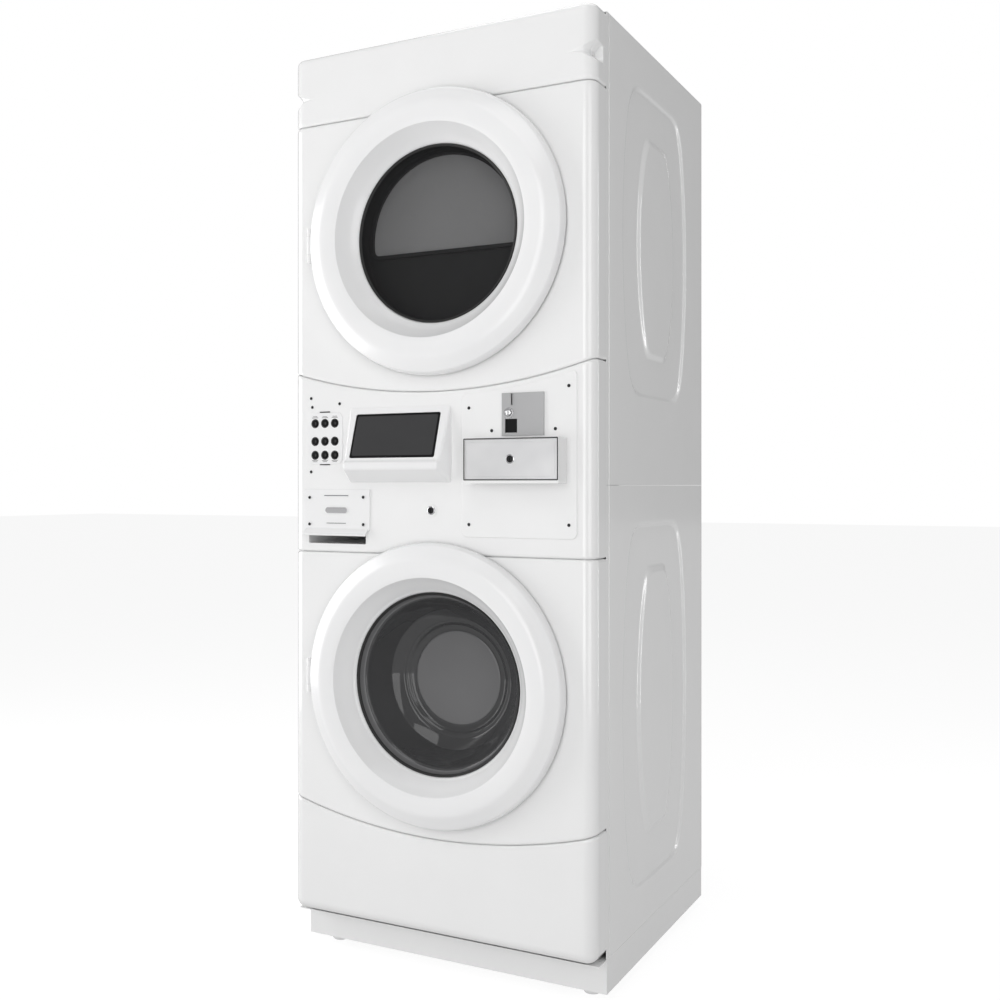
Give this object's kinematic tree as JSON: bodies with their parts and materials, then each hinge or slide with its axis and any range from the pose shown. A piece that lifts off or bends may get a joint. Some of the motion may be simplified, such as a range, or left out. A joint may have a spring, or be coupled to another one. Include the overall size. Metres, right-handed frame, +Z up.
{
  "type": "stacked washer and tumble dryer",
  "caption": "Coin-operated laundry tower: a tumble dryer above a front-loading washer, with round doors, a key and coin console between them, and a plinth on levelling feet.",
  "frame": {"origin": "middle of the footprint at floor level", "axes": "+X to the machine's right seen from the front, +Y to the rear, +Z up; the doors face -Y"},
  "size_m": [0.686, 0.787, 1.915],
  "materials": {
    "white_enamel": "gloss white baked enamel on sheet steel",
    "white_plastic": "moulded white ABS, satin to gloss",
    "galvanised": "zinc coated sheet steel",
    "stainless": "brushed stainless steel",
    "black_plastic": "black moulded plastic",
    "dark_plastic": "dark grey moulded plastic",
    "grey_plastic": "grey moulded plastic",
    "rubber": "black rubber",
    "grey_rubber": "grey moulded rubber",
    "door_glass": "smoked tempered glass",
    "iron": "dark painted iron"
  },
  "bodies": {
    "cabinet": {"base_frame": "white_enamel", "washer_cabinet": "white_enamel", "dryer_cabinet": "white_enamel", "top_panel": "white_enamel", "top_fascia": "white_enamel", "dryer_front_panel": "white_enamel", "console_panel": "white_enamel", "washer_front_panel": "white_enamel", "toe_panel": "white_enamel", "coin_door": "white_enamel", "coin_box_housing": "white_enamel", "key_plate": "white_plastic", "display_housing": "white_plastic", "dryer_floor": "galvanised", "dryer_hinge": "galvanised", "washer_hinge": "galvanised", "heater_box": "galvanised", "blower_housing": "galvanised", "suspension_spring_left": "galvanised", "suspension_spring_right": "galvanised", "coin_acceptor": "stainless", "display_lens": "black_plastic", "detergent_drawer_housing": "grey_plastic", "dryer_belt": "rubber", "door_boot": "grey_rubber", "dryer_motor": "iron"},
    "dryer_door": {"dryer_door_frame": "white_plastic", "dryer_door_glass": "door_glass", "dryer_door_liner": "dark_plastic"},
    "washer_door": {"washer_door_frame": "white_plastic", "washer_door_bowl": "door_glass", "washer_door_liner": "grey_plastic"},
    "dryer_drum_body": {"dryer_drum": "stainless"},
    "fan_shaft_body": {"dryer_fan_shaft": "grey_plastic"},
    "lint_screen_body": {"lint_screen": "grey_plastic"},
    "tub_body": {"outer_tub": "grey_plastic", "washer_motor": "iron", "washer_belt": "rubber", "counterweight": "iron"},
    "washer_drum_body": {"washer_drum": "stainless", "drum_pulley": "grey_plastic"},
    "motor_pulley_body": {"washer_motor_pulley": "stainless"},
    "coin_drawer_body": {"coin_box_drawer": "stainless"},
    "coin_lock_body": {"coin_box_lock": "stainless"},
    "service_lock_body": {"service_lock": "stainless"},
    "coin_return_body": {"coin_return_button": "stainless"},
    "detergent_drawer_body": {"detergent_drawer": "white_plastic"},
    "levelling_foot_front_left_body": {"levelling_foot_front_left": "grey_plastic"},
    "levelling_foot_front_right_body": {"levelling_foot_front_right": "grey_plastic"},
    "levelling_foot_rear_left_body": {"levelling_foot_rear_left": "grey_plastic"},
    "levelling_foot_rear_right_body": {"levelling_foot_rear_right": "grey_plastic"},
    "button_dryer_1_body": {"button_dryer_1": "black_plastic"},
    "button_dryer_2_body": {"button_dryer_2": "black_plastic"},
    "button_dryer_3_body": {"button_dryer_3": "black_plastic"},
    "button_cycle_1_body": {"button_cycle_1": "black_plastic"},
    "button_cycle_2_body": {"button_cycle_2": "black_plastic"},
    "button_cycle_3_body": {"button_cycle_3": "black_plastic"},
    "button_washer_1_body": {"button_washer_1": "black_plastic"},
    "button_washer_2_body": {"button_washer_2": "black_plastic"},
    "button_washer_3_body": {"button_washer_3": "black_plastic"}
  },
  "joints": [
    {"name": "dryer_door_swing", "type": "hinge", "parent": "cabinet", "child": "dryer_door", "pos_m": [-0.296, -0.3585, 1.511], "axis": [0, 0, -1], "range_deg": [0, 110]},
    {"name": "washer_door_swing", "type": "hinge", "parent": "cabinet", "child": "washer_door", "pos_m": [-0.296, -0.3585, 0.599], "axis": [0, 0, -1], "range_deg": [0, 110]},
    {"name": "dryer_drum_spin", "type": "hinge", "parent": "cabinet", "child": "dryer_drum_body", "pos_m": [0, -0.0485, 1.511], "axis": [0, 1, 0], "continuous": true},
    {"name": "fan_shaft_spin", "type": "hinge", "parent": "cabinet", "child": "fan_shaft_body", "pos_m": [0, 0.0515, 1.095], "axis": [0, 1, 0], "continuous": true},
    {"name": "lint_screen_slide", "type": "slide", "parent": "cabinet", "child": "lint_screen_body", "axis": [0, 0, 1], "range_m": [0, 0.2]},
    {"name": "tub_bounce", "type": "slide", "parent": "cabinet", "child": "tub_body", "axis": [0, 0, 1], "range_m": [-0.01, 0.01], "stiffness_N_per_m": 30000, "springref_m": 0.0258, "deforming": ["suspension_spring_left", "suspension_spring_right"]},
    {"name": "washer_drum_spin", "type": "hinge", "parent": "tub_body", "child": "washer_drum_body", "pos_m": [0, -0.0085, 0.599], "axis": [0, 1, 0], "continuous": true},
    {"name": "motor_pulley_spin", "type": "hinge", "parent": "tub_body", "child": "motor_pulley_body", "pos_m": [0, 0.2015, 0.195], "axis": [0, 1, 0], "continuous": true},
    {"name": "coin_drawer_slide", "type": "slide", "parent": "cabinet", "child": "coin_drawer_body", "axis": [0, -1, 0], "range_m": [0, 0.08]},
    {"name": "coin_lock_turn", "type": "hinge", "parent": "coin_drawer_body", "child": "coin_lock_body", "pos_m": [0.188, -0.3785, 1.052], "axis": [0, 1, 0], "range_deg": [0, 90]},
    {"name": "service_lock_turn", "type": "hinge", "parent": "cabinet", "child": "service_lock_body", "pos_m": [-0.006, -0.3485, 0.951], "axis": [0, 1, 0], "range_deg": [0, 90]},
    {"name": "coin_return_press", "type": "slide", "parent": "cabinet", "child": "coin_return_body", "axis": [0, 1, 0], "range_m": [0, 0.0015], "stiffness_N_per_m": 400},
    {"name": "detergent_drawer_slide", "type": "slide", "parent": "cabinet", "child": "detergent_drawer_body", "axis": [0, -1, 0], "range_m": [0, 0.15]},
    {"name": "foot_front_left_height", "type": "slide", "parent": "cabinet", "child": "levelling_foot_front_left_body", "axis": [0, 0, 1], "range_m": [-0.02, 0]},
    {"name": "foot_front_right_height", "type": "slide", "parent": "cabinet", "child": "levelling_foot_front_right_body", "axis": [0, 0, 1], "range_m": [-0.02, 0]},
    {"name": "foot_rear_left_height", "type": "slide", "parent": "cabinet", "child": "levelling_foot_rear_left_body", "axis": [0, 0, 1], "range_m": [-0.02, 0]},
    {"name": "foot_rear_right_height", "type": "slide", "parent": "cabinet", "child": "levelling_foot_rear_right_body", "axis": [0, 0, 1], "range_m": [-0.02, 0]},
    {"name": "button_dryer_1_press", "type": "slide", "parent": "cabinet", "child": "button_dryer_1_body", "axis": [0, 1, 0], "range_m": [0, 0.0015], "stiffness_N_per_m": 400},
    {"name": "button_dryer_2_press", "type": "slide", "parent": "cabinet", "child": "button_dryer_2_body", "axis": [0, 1, 0], "range_m": [0, 0.0015], "stiffness_N_per_m": 400},
    {"name": "button_dryer_3_press", "type": "slide", "parent": "cabinet", "child": "button_dryer_3_body", "axis": [0, 1, 0], "range_m": [0, 0.0015], "stiffness_N_per_m": 400},
    {"name": "button_cycle_1_press", "type": "slide", "parent": "cabinet", "child": "button_cycle_1_body", "axis": [0, 1, 0], "range_m": [0, 0.0015], "stiffness_N_per_m": 400},
    {"name": "button_cycle_2_press", "type": "slide", "parent": "cabinet", "child": "button_cycle_2_body", "axis": [0, 1, 0], "range_m": [0, 0.0015], "stiffness_N_per_m": 400},
    {"name": "button_cycle_3_press", "type": "slide", "parent": "cabinet", "child": "button_cycle_3_body", "axis": [0, 1, 0], "range_m": [0, 0.0015], "stiffness_N_per_m": 400},
    {"name": "button_washer_1_press", "type": "slide", "parent": "cabinet", "child": "button_washer_1_body", "axis": [0, 1, 0], "range_m": [0, 0.0015], "stiffness_N_per_m": 400},
    {"name": "button_washer_2_press", "type": "slide", "parent": "cabinet", "child": "button_washer_2_body", "axis": [0, 1, 0], "range_m": [0, 0.0015], "stiffness_N_per_m": 400},
    {"name": "button_washer_3_press", "type": "slide", "parent": "cabinet", "child": "button_washer_3_body", "axis": [0, 1, 0], "range_m": [0, 0.0015], "stiffness_N_per_m": 400}
  ],
  "couplings": [
    {"joint": "fan_shaft_spin", "follows": "dryer_drum_spin", "ratio": 18.544},
    {"joint": "motor_pulley_spin", "follows": "washer_drum_spin", "ratio": 7.318}
  ]
}
